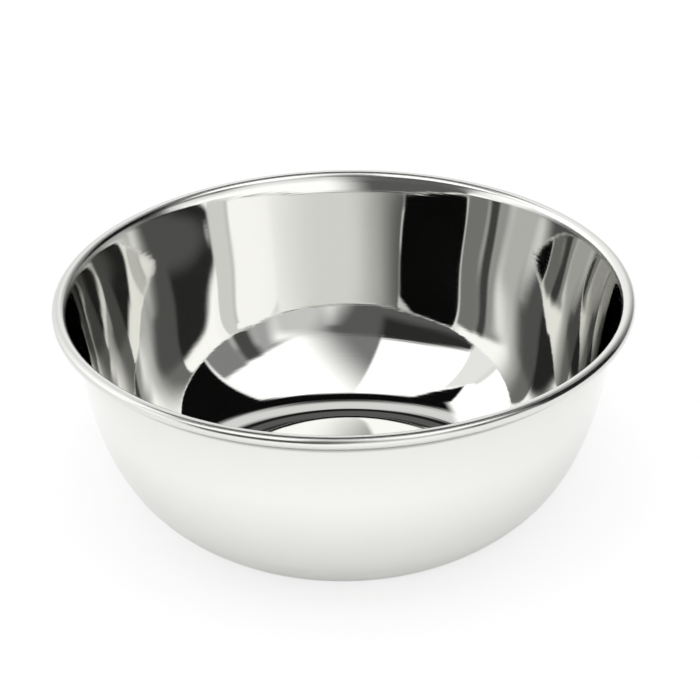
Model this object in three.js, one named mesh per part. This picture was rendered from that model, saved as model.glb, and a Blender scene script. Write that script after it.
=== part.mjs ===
// Small stainless steel bowl: one drawn and pressed sheet whose rim is rolled outwards over a wire hoop.
// Millimetres, +Z up. The origin is the centre of the ring that the bowl stands on, level with the table.
import * as THREE from "three";

const degrees = THREE.MathUtils.degToRad;

// Overall sizes
const RIM_DIAMETER = 110; // across the outside of the rolled rim
const HEIGHT = 45; // table to the top of the rim
const SHEET = 0.5; // wall thickness, the same all over

// Rolled rim, whose size follows from the hoop inside it
const WIRE_DIAMETER = 1;
const WIRE_CLEARANCE = 0.25; // between the hoop and the inside of the roll
const CURL_TURN = degrees(285); // how far the edge is rolled, which leaves a slit against the wall

// Foot ring and raised pad, pressed into the base
const FOOT_RADIUS = 26.65; // outer edge of the flat that the bowl stands on
const FOOT_WIDTH = 1.2; // of that flat
const PAD_RISE = 4.8; // underside of the pad above the table
const RISER_ANGLE = degrees(82); // of the step up to the pad, from the horizontal
const BEND_RADIUS = 0.45; // inside radius of the step's two bends

// Wall: a round turn up from the foot and a short taper, then a full shoulder into a steep side
const TURN_RADIUS = 10.75; // inside radius of the turn
const TAPER_ANGLE = degrees(31.5); // from the horizontal, at the end of the turn
const SIDE_ANGLE = degrees(74.75); // from the horizontal, at the rim
const TAPER_PULL = 0.9; // how far the taper holds its line, as a share of the wall's width
const SIDE_PULL = 0.437; // how far the side holds its line, as a share of the wall's height

// Facets
const SIDES = 56; // round the axis
const BEND_STEPS = 3;
const TURN_STEPS = 6;
const WALL_STEPS = 14;
const CURL_STEPS = 15;
const WIRE_SIDES = 8;

const rollRadius = WIRE_DIAMETER / 2 + WIRE_CLEARANCE + SHEET / 2; // mid-sheet
const curlRadius = rollRadius + SHEET / 2; // outside
const curlCentre = new THREE.Vector2(RIM_DIAMETER / 2 - curlRadius, HEIGHT - curlRadius);

// The unit vector at an angle from the horizontal, in the profile plane of radius and height.
function heading(angle) {
  return new THREE.Vector2(Math.cos(angle), Math.sin(angle));
}

// The arc that rounds the corner between two straight runs.
function roundedCorner(before, corner, after, radius) {
  const arriving = corner.clone().sub(before).normalize();
  const leaving = after.clone().sub(corner).normalize();
  const turn = Math.atan2(arriving.cross(leaving), arriving.dot(leaving));
  const setback = radius * Math.tan(Math.abs(turn) / 2);
  const start = corner.clone().addScaledVector(arriving, -setback);
  const toCentre = new THREE.Vector2(-arriving.y, arriving.x).multiplyScalar(Math.sign(turn) * radius);
  const centre = start.clone().add(toCentre);
  const angle = start.clone().sub(centre).angle();
  return new THREE.EllipseCurve(centre.x, centre.y, radius, radius, angle, angle + turn, turn < 0);
}

// The base from the axis out to the wall: pad, riser and foot ring, then the turn into the taper.
function baseRuns() {
  const padHeight = PAD_RISE + SHEET / 2;
  const ringHeight = SHEET / 2;
  const bendRadius = BEND_RADIUS + SHEET / 2;
  const turnRadius = TURN_RADIUS + SHEET / 2;
  const ringInner = FOOT_RADIUS - FOOT_WIDTH - bendRadius * Math.tan(RISER_ANGLE / 2);
  const ringOuter = FOOT_RADIUS + turnRadius * Math.tan(TAPER_ANGLE / 2);
  const axis = new THREE.Vector2(0, padHeight);
  const padEdge = new THREE.Vector2(ringInner - PAD_RISE / Math.tan(RISER_ANGLE), padHeight);
  const ringStart = new THREE.Vector2(ringInner, ringHeight);
  const ringEnd = new THREE.Vector2(ringOuter, ringHeight);
  const upTheTaper = ringEnd.clone().add(heading(TAPER_ANGLE));
  const padBend = roundedCorner(axis, padEdge, ringStart, bendRadius);
  const riserBend = roundedCorner(padEdge, ringStart, ringEnd, bendRadius);
  const turn = roundedCorner(ringStart, ringEnd, upTheTaper, turnRadius);
  return [
    [new THREE.LineCurve(axis, padBend.getPoint(0)), 1],
    [padBend, BEND_STEPS],
    [new THREE.LineCurve(padBend.getPoint(1), riserBend.getPoint(0)), 1],
    [riserBend, BEND_STEPS],
    [new THREE.LineCurve(riserBend.getPoint(1), turn.getPoint(0)), 1],
    [turn, TURN_STEPS],
  ];
}

// The wall from the turn to the start of the roll, as one curve that leaves and arrives at its two angles.
function wallRun(start) {
  const top = curlCentre.clone().addScaledVector(heading(SIDE_ANGLE - Math.PI / 2), -rollRadius);
  const taperLength = TAPER_PULL * (top.x - start.x);
  const sideLength = SIDE_PULL * (top.y - start.y);
  const taperEnd = start.clone().addScaledVector(heading(TAPER_ANGLE), taperLength);
  const sideEnd = top.clone().addScaledVector(heading(SIDE_ANGLE), -sideLength);
  return [new THREE.CubicBezierCurve(start, taperEnd, sideEnd, top), WALL_STEPS];
}

// The roll: outwards, over the top and down until its edge points back at the wall.
function curlRun() {
  const start = SIDE_ANGLE + Math.PI / 2;
  const { x, y } = curlCentre;
  return [new THREE.EllipseCurve(x, y, rollRadius, rollRadius, start, start - CURL_TURN, true), CURL_STEPS];
}

// The closed outline of the sheet: its under face out to the rolled edge, then its upper face back to the axis.
function sheetOutline(runs) {
  const under = [];
  const upper = [];
  runs.forEach(([curve, steps], run) => {
    for (let step = run === 0 ? 0 : 1; step <= steps; step++) {
      const point = curve.getPoint(step / steps);
      const along = curve.getTangent(step / steps);
      const across = new THREE.Vector2(-along.y, along.x);
      under.push(point.clone().addScaledVector(across, -SHEET / 2));
      upper.push(point.clone().addScaledVector(across, SHEET / 2));
    }
  });
  return [...under, ...upper.reverse()];
}

function bowlShell() {
  const base = baseRuns();
  const wallStart = base[base.length - 1][0].getPoint(1);
  const outline = sheetOutline([...base, wallRun(wallStart), curlRun()]);
  const geometry = new THREE.LatheGeometry(outline, SIDES).rotateX(Math.PI / 2);
  const polishedSteel = new THREE.MeshStandardMaterial({ color: 0xd2d2ce, metalness: 1, roughness: 0.06 });
  const mesh = new THREE.Mesh(geometry, polishedSteel);
  mesh.name = "bowl_shell";
  return mesh;
}

// The hoop lies along the middle of the roll.
function rimWire() {
  const geometry = new THREE.TorusGeometry(curlCentre.x, WIRE_DIAMETER / 2, WIRE_SIDES, SIDES);
  const drawnWire = new THREE.MeshStandardMaterial({ color: 0x9c9c98, metalness: 1, roughness: 0.4 });
  const mesh = new THREE.Mesh(geometry, drawnWire);
  mesh.name = "rim_wire";
  mesh.position.z = curlCentre.y;
  return mesh;
}

const bowl = new THREE.Group();
bowl.name = "stainless_steel_bowl";
bowl.add(bowlShell(), rimWire());

export default bowl;
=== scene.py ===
"""Stainless steel bowl: the drawn shell as a smooth, mirror polished piece, in a small photo studio.

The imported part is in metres, with +Z up and the origin on the table under the bowl's axis.
"""
import math

import bmesh
import bpy
from mathutils import Matrix, Vector, noise
from mathutils.geometry import interpolate_bezier


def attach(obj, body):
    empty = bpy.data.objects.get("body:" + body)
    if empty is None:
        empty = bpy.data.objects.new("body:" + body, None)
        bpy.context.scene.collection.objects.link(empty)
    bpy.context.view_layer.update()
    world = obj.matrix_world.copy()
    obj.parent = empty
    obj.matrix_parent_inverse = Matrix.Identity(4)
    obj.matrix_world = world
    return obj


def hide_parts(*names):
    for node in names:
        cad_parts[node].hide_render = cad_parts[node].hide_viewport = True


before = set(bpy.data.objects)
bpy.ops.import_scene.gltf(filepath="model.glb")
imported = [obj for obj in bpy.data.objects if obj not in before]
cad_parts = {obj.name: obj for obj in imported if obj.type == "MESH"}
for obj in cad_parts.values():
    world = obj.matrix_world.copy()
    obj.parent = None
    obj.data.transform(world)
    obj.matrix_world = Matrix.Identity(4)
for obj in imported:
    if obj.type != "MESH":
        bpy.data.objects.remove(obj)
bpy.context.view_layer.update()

MM = 0.001

# The bowl's own sizes, the same as in the part's source
RIM_RADIUS = 55 * MM
HEIGHT = 45 * MM
SHEET = 0.5 * MM
ROLL_RADIUS = 1.0 * MM  # of the rolled rim, at the middle of the sheet
ROLL_OUTSIDE = ROLL_RADIUS + SHEET / 2
ROLL_TURN = math.radians(285)
FOOT_RADIUS = 26.65 * MM
FOOT_WIDTH = 1.2 * MM
PAD_RISE = 4.8 * MM
RISER_ANGLE = math.radians(82)
BEND_RADIUS = 0.7 * MM  # of the step's two bends, at the middle of the sheet
TURN_RADIUS = 11.0 * MM  # of the turn from the foot into the wall, at the middle of the sheet
TAPER_ANGLE = math.radians(31.5)
SIDE_ANGLE = math.radians(74.75)
TAPER_PULL = 0.9
SIDE_PULL = 0.437

# How finely the shell is spun
ROUND_STEPS = 360
PAD_STEPS = 10
BEND_STEPS = 6
TURN_STEPS = 10
WALL_STEPS = 44
ROLL_STEPS = 22

# Unevenness that drawing and buffing leave in the sheet
LONG_WAVE = 0.045 * MM  # height of the long waves up the wall
DRAW_LINE = 0.01 * MM  # height of the narrower waves between them
PAD_WAVE = 0.02 * MM  # height of the short waves on the pad

# The finish of the steel. Some of these colours are painted shade on the roll and under it, on the outside
WALL_STEEL = "#e3e3e0"
# the roll's steel, painted a little darker than the wall's as painted shade that tones down its reflection
SHADED_ROLL_STEEL = "#d2d2cf"
CORNER_PAINTED_SHADE = "#8c8c88"  # painted shade in the corner under the roll, on the outside
# painted shade, lighter below the corner, fading into the wall's colour further down
BELOW_CORNER_PAINTED_SHADE = "#d8d8d5"
CORNER_DISTANCE = 2.75 * MM  # from the middle of the roll, as are the next two
BELOW_CORNER_DISTANCE = 3.5 * MM
# where the painted shade under the roll ends
PAINTED_SHADE_END = 16 * MM
RING_SPACING = 0.5 * MM  # of the polishing rings
RING_DRIFT = 0.4 * MM  # how far a ring wanders on its way round
PATCH_SIZE = 14 * MM
FINE_ROUGHNESS = 0.012
DULL_ROUGHNESS = 0.045
ROLL_ROUGHNESS = 0.16  # more than on the wall
RING_RELIEF = 0.02 * MM
RING_RELIEF_STRENGTH = 0.14
WIRE_STEEL = "#b4b4b0"
WIRE_GRAIN = 0.3 * MM

# The camera, fitted to the bowl's outline in an image of 700 by 700 pixels
IMAGE_SIZE = 700
FOCAL_PIXELS = 3600
CAMERA_DISTANCE = 678.748 * MM  # from the middle of the rim
CAMERA_ELEVATION = math.radians(28.529)
CAMERA_ROLL = math.radians(1.052)
RIM_CENTRE_PIXEL = (343.337, 294.224)
SENSOR_WIDTH = 36.0

# The studio's plain light, where 1 is white
CAMERA_WHITE = 1.0  # what the camera sees past the table
EVEN_LIGHT = 0.9  # on plain surfaces
TABLE_GLOW = 0.7  # the share of plain white in the table that the camera sees
TABLE_PAINT = "#fafafa"
TABLE_HALF_WIDTH = 3.0

# What the mirror sees round the bowl. White sheets hang on all sides. These are the places before and between
# them, each laid over the ones above it in the list, with its level of light and its corners. A corner is
# azimuth, elevation and softness in degrees: azimuth 0 is towards the camera and 90 is to its right, and the
# softness is that of the side which starts at the corner. A round place has its middle as its only corner,
# with its radius at the end.
WHITE_SHEETS = 1.3
SURROUNDINGS = [
    ("front sheet", 1.6,
     [(-67, 24, 1.5), (-22, 35, 4), (28, 29, 4), (69, 23, 3), (74, 63, 3), (-77, 47, 3)]),
    ("grey fold behind the camera", 0.23, [(-20, 25, 1), (17, 25, 15), (-16, 70, 1)]),
    ("grey fold at the right", 0.42, [(27, 31, 3), (61, 24, 2), (72, 36, 2)]),
    ("dark room at the right", 0.004,
     [(75, -3, 1), (129.5, -3, 1), (125, 58, 1), (81, 63, 1), (77, 37, 1)]),
    ("opening overhead", 0.004, [(178, 56, 0.8, 47)]),
    ("light inside the opening", 0.83, [(180, 56, 1.5, 41)]),
    ("dark line inside the opening", 0.015, [(180, 56, 1.2, 35)]),
    ("grey inside the opening", 0.12, [(180, 56, 1, 29.5)]),
    ("dark middle of the opening", 0.04, [(180, 56, 1, 18)]),
    ("back wall", 1.05, [(129, 0, 1), (-120, 0, 3), (-120, 44, 2), (129, 44, 2)]),
    ("back shade", 0.15, [(129, 0, 1), (152, 0, 24), (152, 46, 3), (129, 46, 1)]),
    ("left softbox", 1.55, [(-130, 0, 1), (-66, 0, 2), (-62, 50, 2), (-130, 50, 30)]),
    ("pale fold at the left", 1.0, [(-84, 18, 0.7), (-67, 18, 0.7), (-76, 52, 0.7), (-85, 36, 0.7)]),
    ("seam at the left", 0.9, [(-86, 0, 1), (-83, 0, 1), (-83, 38, 1), (-86, 38, 1)]),
    ("light room at the right", 0.7, [(8, 9, 3), (38, 9, 6), (36, 26, 4), (8, 30, 4)]),
    ("dim room behind the camera", 0.12,
     [(-50, -2, 2), (-6, -2, 9), (13, 31, 4), (-20, 34, 2), (-68, 24, 1.5)]),
    ("dark room behind the camera", 0.03, [(-68, 18, 3), (-19, 20, 3), (-19, 34, 2), (-68, 24, 1.5)]),
    ("grey curtain at the right", 0.45, [(36, 9, 3), (47, 9, 3), (47, 34, 3), (38, 31, 4)]),
    ("dark curtain at the right", 0.08, [(46.5, 8, 3), (57, 8, 2.5), (57, 36, 2), (46.5, 36, 2.5)]),
    ("grey edge at the right", 0.27, [(57, 8, 1), (75.5, 8, 1), (75.5, 38, 2), (57, 38, 2.5)]),
    ("dark slot at the left", 0.004,
     [(-82, 43, 0.7), (-75.5, 56.5, 0.7), (-69, 74, 0.7), (-90, 62, 1), (-92, 54, 0.7)]),
]


def linear(hex_colour):
    """The linear colour of an sRGB hex value."""
    parts = [int(hex_colour[i:i + 2], 16) / 255 for i in (1, 3, 5)]
    return [p / 12.92 if p <= 0.04045 else ((p + 0.055) / 1.055) ** 2.4 for p in parts] + [1.0]


def add_node(tree, kind, settings=None, inputs=None):
    """A node of that kind with its settings, and each input given a value or linked from a socket."""
    node = tree.nodes.new(kind)
    for name, value in (settings or {}).items():
        setattr(node, name, value)
    for name, value in (inputs or {}).items():
        if isinstance(value, bpy.types.NodeSocket):
            tree.links.new(value, node.inputs[name])
        else:
            node.inputs[name].default_value = value
    return node


def mirror_polished_stainless():
    """Stainless sheet, drawn, then polished to a mirror on a turning buff.

    The eye gets sharp reflections in a pale, faintly warm grey, softened by fine rings from the buff and by
    patches that took the polish a little less. The real rings are a few hundredths of a millimetre apart;
    here they are about 0.5 mm apart, which is as fine as the picture shows. The rolled rim took less polish
    than the wall and is rougher. On the outside the roll's colour is painted a little darker as painted
    shade, the corner under it is painted darker still as painted shade, and that shade fades out down the
    wall.
    """
    material = bpy.data.materials.new("mirror_polished_stainless")
    material.use_nodes = True
    tree = material.node_tree
    shader = tree.nodes["Principled BSDF"]
    shader.inputs["Metallic"].default_value = 1.0

    # Where a point lies: its radius and height, and its direction from the axis
    place = add_node(tree, "ShaderNodeTexCoord").outputs["Object"]
    height = add_node(tree, "ShaderNodeSeparateXYZ", None, {"Vector": place}).outputs["Z"]
    flat = add_node(
        tree, "ShaderNodeVectorMath", {"operation": "MULTIPLY"}, {0: place, 1: (1, 1, 0)}).outputs[0]
    radius = add_node(tree, "ShaderNodeVectorMath", {"operation": "LENGTH"}, {0: flat}).outputs["Value"]
    ring = add_node(tree, "ShaderNodeCombineXYZ", None, {"X": radius, "Y": height}).outputs[0]
    around = add_node(tree, "ShaderNodeVectorMath", {"operation": "NORMALIZE"}, {0: flat}).outputs[0]
    roll_centre = (RIM_RADIUS - ROLL_OUTSIDE, HEIGHT - ROLL_OUTSIDE, 0)
    from_roll = add_node(
        tree, "ShaderNodeVectorMath", {"operation": "DISTANCE"}, {0: ring, 1: roll_centre}).outputs["Value"]

    # Polishing rings, duller in patches and on the roll
    drift = add_node(
        tree, "ShaderNodeVectorMath", {"operation": "SCALE"}, {0: around, "Scale": RING_DRIFT}).outputs[0]
    along = add_node(tree, "ShaderNodeVectorMath", {"operation": "ADD"}, {0: ring, 1: drift}).outputs[0]
    rings = add_node(
        tree, "ShaderNodeTexNoise", {"noise_dimensions": "3D"},
        {"Vector": along, "Scale": 1 / RING_SPACING, "Detail": 2.0, "Roughness": 0.6}).outputs["Fac"]
    patches = add_node(
        tree, "ShaderNodeTexNoise", {"noise_dimensions": "3D"},
        {"Vector": place, "Scale": 1 / PATCH_SIZE, "Detail": 3.0}).outputs["Fac"]
    both = add_node(tree, "ShaderNodeMath", {"operation": "MULTIPLY"}, {0: rings, 1: patches}).outputs[0]
    rough = add_node(
        tree, "ShaderNodeMapRange", None,
        {"Value": both, "From Min": 0.1, "From Max": 0.4,
         "To Min": FINE_ROUGHNESS, "To Max": DULL_ROUGHNESS}).outputs["Result"]
    on_roll = add_node(
        tree, "ShaderNodeMapRange", None,
        {"Value": from_roll, "From Min": 1.3 * MM, "From Max": 1.6 * MM,
         "To Min": ROLL_ROUGHNESS, "To Max": 0.0}).outputs["Result"]
    all_rough = add_node(tree, "ShaderNodeMath", {"operation": "ADD"}, {0: rough, 1: on_roll}).outputs[0]
    tree.links.new(all_rough, shader.inputs["Roughness"])
    bump = add_node(
        tree, "ShaderNodeBump", None,
        {"Strength": RING_RELIEF_STRENGTH, "Distance": RING_RELIEF, "Height": rings}).outputs["Normal"]
    tree.links.new(bump, shader.inputs["Normal"])

    # The colour from the roll down the outside, with painted shade on the roll and in the corner under it,
    # and the wall's own inside
    below_roll = add_node(
        tree, "ShaderNodeMapRange", None,
        {"Value": from_roll, "From Min": ROLL_OUTSIDE, "From Max": PAINTED_SHADE_END}).outputs["Result"]
    painted_shade_ramp = add_node(tree, "ShaderNodeValToRGB", None, {"Fac": below_roll})
    painted_shade_ramp.color_ramp.elements[0].color = linear(SHADED_ROLL_STEEL)
    painted_shade_ramp.color_ramp.elements[1].color = linear(WALL_STEEL)
    # Painted shade in the corner under the roll, lighter below it
    corner_stops = ((CORNER_DISTANCE, CORNER_PAINTED_SHADE), (BELOW_CORNER_DISTANCE, BELOW_CORNER_PAINTED_SHADE))
    for distance, colour in corner_stops:
        stop = painted_shade_ramp.color_ramp.elements.new((distance - ROLL_OUTSIDE) / (PAINTED_SHADE_END - ROLL_OUTSIDE))
        stop.color = linear(colour)
    normal = add_node(tree, "ShaderNodeNewGeometry").outputs["Normal"]
    facing = add_node(
        tree, "ShaderNodeVectorMath", {"operation": "DOT_PRODUCT"}, {0: around, 1: normal}).outputs["Value"]
    outside = add_node(
        tree, "ShaderNodeMapRange", None,
        {"Value": facing, "From Min": -0.2, "From Max": 0.2}).outputs["Result"]
    steel = add_node(
        tree, "ShaderNodeMix", {"data_type": "RGBA"},
        {0: outside, 6: linear(WALL_STEEL), 7: painted_shade_ramp.outputs["Color"]}).outputs[2]
    tree.links.new(steel, shader.inputs["Base Color"])
    return material


def drawn_stainless_wire():
    """Stainless wire, pulled through a die, with no polish after it.

    The eye gets a grey satin with a fine, uneven grain. It is shut inside the rolled rim.
    """
    material = bpy.data.materials.new("drawn_stainless_wire")
    material.use_nodes = True
    tree = material.node_tree
    shader = tree.nodes["Principled BSDF"]
    shader.inputs["Base Color"].default_value = linear(WIRE_STEEL)
    shader.inputs["Metallic"].default_value = 1.0
    place = add_node(tree, "ShaderNodeTexCoord").outputs["Object"]
    grain = add_node(
        tree, "ShaderNodeTexNoise", {"noise_dimensions": "3D"},
        {"Vector": place, "Scale": 1 / WIRE_GRAIN, "Detail": 2.0}).outputs["Fac"]
    rough = add_node(
        tree, "ShaderNodeMapRange", None, {"Value": grain, "To Min": 0.28, "To Max": 0.48}).outputs["Result"]
    tree.links.new(rough, shader.inputs["Roughness"])
    return material


def run_to(bm, tip, place):
    """Carries the sheet's profile on from its tip to a place, and returns the new tip."""
    step = bmesh.ops.extrude_vert_indiv(bm, verts=[tip])["verts"][0]
    step.co = place
    return step


def bend(bm, tip, heading, turn, radius, steps):
    """Carries the profile round a bend, upwards where the turn is above zero.

    Returns the new tip and heading.
    """
    side = math.copysign(1, turn)
    centre = tip.co + side * radius * Vector((-math.sin(heading), 0, math.cos(heading)))
    spun = bmesh.ops.spin(bm, geom=[tip], cent=centre, axis=(0, -1, 0), angle=turn, steps=steps)
    last = [part for part in spun["geom_last"] if isinstance(part, bmesh.types.BMVert)][0]
    return last, heading + turn


def towards(heading):
    """The unit vector at an angle above the horizontal, in the plane of radius and height."""
    return Vector((math.cos(heading), 0, math.sin(heading)))


def sheet_profile(bm):
    """The middle of the sheet from the axis to the rolled edge, in the plane of radius and height."""
    half_bend = BEND_RADIUS * math.tan(RISER_ANGLE / 2)
    ring_inner = FOOT_RADIUS - FOOT_WIDTH - half_bend
    pad_edge = ring_inner - PAD_RISE / math.tan(RISER_ANGLE) - half_bend
    riser = PAD_RISE / math.sin(RISER_ANGLE) - 2 * half_bend
    tip = bm.verts.new((0, 0, PAD_RISE + SHEET / 2))
    for step in range(1, PAD_STEPS + 1):
        tip = run_to(bm, tip, (pad_edge * step / PAD_STEPS, 0, PAD_RISE + SHEET / 2))
    tip, heading = bend(bm, tip, 0.0, -RISER_ANGLE, BEND_RADIUS, BEND_STEPS)
    tip = run_to(bm, tip, tip.co + riser * towards(heading))
    tip, heading = bend(bm, tip, heading, RISER_ANGLE, BEND_RADIUS, BEND_STEPS)
    tip = run_to(bm, tip, (FOOT_RADIUS, 0, SHEET / 2))
    tip, heading = bend(bm, tip, 0.0, TAPER_ANGLE, TURN_RADIUS, TURN_STEPS)
    roll_centre = Vector((RIM_RADIUS - ROLL_OUTSIDE, 0, HEIGHT - ROLL_OUTSIDE))
    top = roll_centre - ROLL_RADIUS * towards(SIDE_ANGLE - math.pi / 2)
    start = tip.co.copy()
    taper_end = start + TAPER_PULL * (top.x - start.x) * towards(TAPER_ANGLE)
    side_end = top - SIDE_PULL * (top.z - start.z) * towards(SIDE_ANGLE)
    for place in interpolate_bezier(start, taper_end, side_end, top, WALL_STEPS + 1)[1:]:
        tip = run_to(bm, tip, place)
    bend(bm, tip, SIDE_ANGLE, -ROLL_TURN, ROLL_RADIUS, ROLL_STEPS)


def fade_in(depth, reach):
    """0 up to the start of a zone, and 1 from its reach on."""
    return min(1.0, max(0.0, depth / reach))


def press_marks(bm):
    """The slight unevenness of thin sheet: long waves up the wall, and short ones on the pad.

    They fade out towards the base's step, the turn and the roll.
    """
    bm.normal_update()
    moves = []
    for vert in bm.verts:
        radius = math.hypot(vert.co.x, vert.co.y)
        around = Vector((vert.co.x, vert.co.y, 0)) / max(radius, MM)
        wall = fade_in(vert.co.z - 9 * MM, 8 * MM) * fade_in(HEIGHT - 2.5 * MM - vert.co.z, 6 * MM)
        pad = fade_in(FOOT_RADIUS - 4 * MM - radius, 5 * MM)
        long_wave = noise.noise(around * 5 + Vector((0, 0, vert.co.z / (30 * MM))))
        draw_line = noise.noise(around * 11 + Vector((5, 2, vert.co.z / (60 * MM))))
        short_wave = noise.noise(vert.co / (9 * MM) + Vector((3, 7, 1)))
        on_wall = LONG_WAVE * long_wave + DRAW_LINE * draw_line
        moves.append(on_wall * wall + PAD_WAVE * short_wave * pad)
    for vert, move in zip(bm.verts, moves):
        vert.co += vert.normal * move


def bowl_shell():
    """The whole pressing: its profile spun round the axis, then given the sheet's thickness."""
    bm = bmesh.new()
    sheet_profile(bm)
    bmesh.ops.spin(
        bm, geom=bm.verts[:] + bm.edges[:], cent=(0, 0, 0), axis=(0, 0, 1),
        angle=math.tau, steps=ROUND_STEPS, use_merge=True)
    bmesh.ops.remove_doubles(bm, verts=bm.verts[:], dist=0.001 * MM)
    bmesh.ops.recalc_face_normals(bm, faces=bm.faces[:])
    press_marks(bm)
    for face in bm.faces:
        face.smooth = True
    mesh = bpy.data.meshes.new("polished_shell")
    bm.to_mesh(mesh)
    bm.free()
    piece = bpy.data.objects.new("polished_shell", mesh)
    bpy.context.scene.collection.objects.link(piece)
    thickness = piece.modifiers.new("sheet", "SOLIDIFY")
    thickness.thickness = SHEET
    thickness.offset = 0.0
    thickness.use_even_offset = True
    mesh.materials.append(mirror_polished_stainless())
    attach(piece, "root")
    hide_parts("bowl_shell")


def direction(azimuth, elevation):
    """The unit vector from the bowl towards a place in the studio."""
    a, e = math.radians(azimuth), math.radians(elevation)
    return Vector((math.sin(a) * math.cos(e), -math.cos(a) * math.cos(e), math.sin(e)))


def sides(corners):
    """Each side of a place as an axis, and how far along it a look goes from outside the place to inside."""
    if len(corners) == 1:
        azimuth, elevation, softness, radius = corners[0]
        outer, inner = [math.cos(math.radians(radius + step)) for step in (softness, -softness)]
        return [(direction(azimuth, elevation), outer, inner)]
    found = []
    for (azimuth, elevation, softness), following in zip(corners, corners[1:] + corners[:1]):
        axis = direction(azimuth, elevation).cross(direction(*following[:2])).normalized()
        reach = math.sin(math.radians(softness))
        found.append((axis, -reach, reach))
    return found


def studio_world():
    """White for the camera, an even light on plain surfaces, and the surroundings in the mirror."""
    world = bpy.data.worlds.new("studio")
    world.use_nodes = True
    bpy.context.scene.world = world
    tree = world.node_tree
    look = add_node(tree, "ShaderNodeTexCoord").outputs["Generated"]
    seen = WHITE_SHEETS
    for name, level, corners in SURROUNDINGS:
        inside = 1.0
        for axis, outer, inner in sides(corners):
            along = add_node(
                tree, "ShaderNodeVectorMath", {"operation": "DOT_PRODUCT"},
                {0: look, 1: axis}).outputs["Value"]
            share = add_node(
                tree, "ShaderNodeMapRange", {"interpolation_type": "SMOOTHSTEP"},
                {"Value": along, "From Min": outer, "From Max": inner}).outputs["Result"]
            inside = add_node(
                tree, "ShaderNodeMath", {"operation": "MULTIPLY"}, {0: inside, 1: share}).outputs[0]
        seen = add_node(
            tree, "ShaderNodeMix", {"data_type": "FLOAT", "label": name},
            {0: inside, 2: seen, 3: level}).outputs[0]
    path = add_node(tree, "ShaderNodeLightPath").outputs
    plain = add_node(
        tree, "ShaderNodeMix", {"data_type": "FLOAT"},
        {0: path["Is Camera Ray"], 2: EVEN_LIGHT, 3: CAMERA_WHITE}).outputs[0]
    mirror = add_node(
        tree, "ShaderNodeMix", {"data_type": "FLOAT"},
        {0: path["Is Glossy Ray"], 2: plain, 3: seen}).outputs[0]
    tree.links.new(mirror, tree.nodes["Background"].inputs["Strength"])
    tree.nodes["Background"].inputs["Color"].default_value = (1, 1, 1, 1)


def studio_floor():
    """A plain white table top, which keeps the bowl's shadow."""
    bm = bmesh.new()
    bmesh.ops.create_grid(bm, x_segments=1, y_segments=1, size=TABLE_HALF_WIDTH)
    mesh = bpy.data.meshes.new("table_top")
    bm.to_mesh(mesh)
    bm.free()
    floor = bpy.data.objects.new("table_top", mesh)
    bpy.context.scene.collection.objects.link(floor)
    material = bpy.data.materials.new("white_laminate")
    material.use_nodes = True
    tree = material.node_tree
    paint = tree.nodes["Principled BSDF"]
    paint.inputs["Base Color"].default_value = linear(TABLE_PAINT)
    paint.inputs["Roughness"].default_value = 0.6
    paint.inputs["Specular IOR Level"].default_value = 0.0
    path = add_node(tree, "ShaderNodeLightPath").outputs
    share = add_node(
        tree, "ShaderNodeMath", {"operation": "MULTIPLY"},
        {0: path["Is Camera Ray"], 1: TABLE_GLOW}).outputs[0]
    glow = add_node(tree, "ShaderNodeEmission", None, {"Color": (1, 1, 1, 1), "Strength": 1.0}).outputs[0]
    mixed = add_node(tree, "ShaderNodeMixShader", None, {0: share, 1: paint.outputs[0], 2: glow}).outputs[0]
    tree.links.new(mixed, tree.nodes["Material Output"].inputs["Surface"])
    mesh.materials.append(material)


def soft_lamp(name, place, target, size, watts):
    """A square lamp that lights the table. The mirror shows the surroundings in its place."""
    data = bpy.data.lights.new(name, "AREA")
    data.shape = "SQUARE"
    data.size = size
    data.energy = watts
    lamp = bpy.data.objects.new(name, data)
    bpy.context.scene.collection.objects.link(lamp)
    lamp.location = place
    lamp.rotation_euler = (Vector(target) - Vector(place)).to_track_quat("-Z", "Y").to_euler()
    lamp.visible_glossy = False


def camera():
    """Stands where the bowl's outline puts it, with the picture's slight roll."""
    data = bpy.data.cameras.new("camera")
    data.sensor_width = SENSOR_WIDTH
    data.lens = FOCAL_PIXELS / IMAGE_SIZE * SENSOR_WIDTH
    data.clip_start = 10 * MM
    stand = bpy.data.objects.new("camera", data)
    bpy.context.scene.collection.objects.link(stand)
    back = Vector((0, -math.cos(CAMERA_ELEVATION), math.sin(CAMERA_ELEVATION)))
    level = Vector((1, 0, 0))
    upright = back.cross(level)
    right = math.cos(CAMERA_ROLL) * level - math.sin(CAMERA_ROLL) * upright
    up = math.sin(CAMERA_ROLL) * level + math.cos(CAMERA_ROLL) * upright
    across, down = [(p - IMAGE_SIZE / 2) / FOCAL_PIXELS * CAMERA_DISTANCE for p in RIM_CENTRE_PIXEL]
    place = Vector((0, 0, HEIGHT)) - across * right + down * up + CAMERA_DISTANCE * back
    stand.matrix_world = Matrix.Translation(place) @ Matrix((right, up, back)).transposed().to_4x4()
    bpy.context.scene.camera = stand


camera()
bowl_shell()
wire_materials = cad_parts["rim_wire"].data.materials
wire_materials.clear()
wire_materials.append(drawn_stainless_wire())
studio_floor()
soft_lamp("overhead_lamp", place=(0, -0.15, 0.8), target=(0, -0.15, 0), size=0.6, watts=2.0)
soft_lamp("front_lamp", place=(0, -0.5, 0.25), target=(0, -0.05, 0), size=0.2, watts=0.9)
studio_world()
bpy.context.scene.view_settings.view_transform = "Standard"
